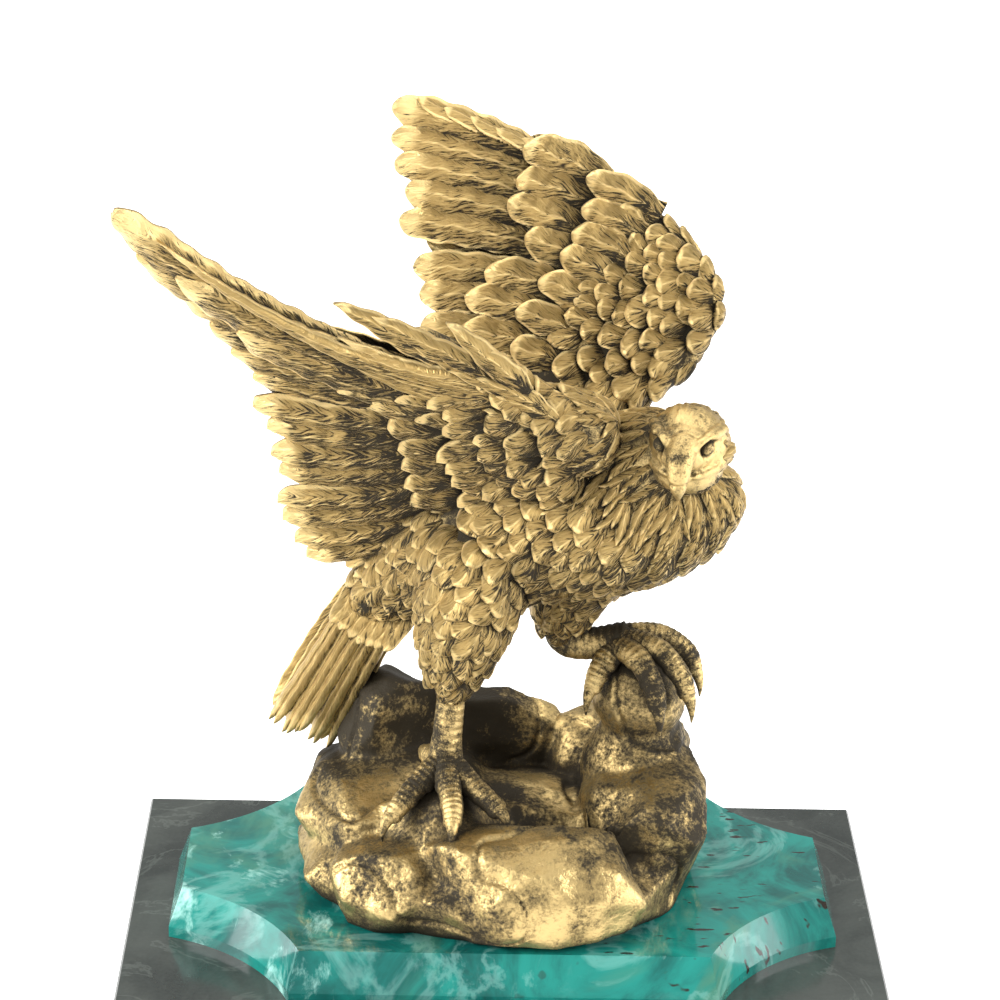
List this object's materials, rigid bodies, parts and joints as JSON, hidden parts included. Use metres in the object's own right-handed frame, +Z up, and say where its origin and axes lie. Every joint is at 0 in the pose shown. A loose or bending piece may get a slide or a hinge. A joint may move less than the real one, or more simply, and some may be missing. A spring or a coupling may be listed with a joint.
{
  "type": "eagle statuette on stone base",
  "caption": "Cast bronze eagle with raised wings, perched on a bronze rock, bolted to a scooped stone plinth and a flat stone slab with a felt underside.",
  "frame": {"origin": "middle of the felt underside, where the statuette stands", "axes": "+Z up, +X to the side the bird faces and along the longer side of the bases, -Y to the side of its right wing, which is the side it is shown from"},
  "size_m": [0.2, 0.12, 0.2269],
  "materials": {
    "bird_bronze": "gilt high points over a near-black patina",
    "rock_bronze": "gilt, speckled with dark patina",
    "bronze_pins": "plain cast bronze",
    "plinth_stone": "polished green veined stone",
    "slab_stone": "honed dark grey stone",
    "felt": "dark green felt",
    "steel_fasteners": "zinc plated"
  },
  "bodies": {
    "root": {"felt_sheet": "felt", "stone_slab": "slab_stone", "stone_plinth": "plinth_stone", "base_studs": "steel_fasteners", "base_washers": "steel_fasteners", "base_nuts": "steel_fasteners", "rock_casting": "rock_bronze", "body_casting": "bird_bronze", "right_wing_casting": "bird_bronze", "left_wing_casting": "bird_bronze", "tail_casting": "bird_bronze", "right_leg_casting": "bird_bronze", "left_leg_casting": "bird_bronze", "right_wing_pin": "bronze_pins", "left_wing_pin": "bronze_pins", "tail_pin": "bronze_pins", "right_leg_pin": "bronze_pins", "left_leg_pin": "bronze_pins", "right_foot_stud": "steel_fasteners", "right_foot_washer": "steel_fasteners", "right_foot_nut": "steel_fasteners", "left_foot_stud": "steel_fasteners", "left_foot_washer": "steel_fasteners", "left_foot_nut": "steel_fasteners"}
  },
  "joints": []
}
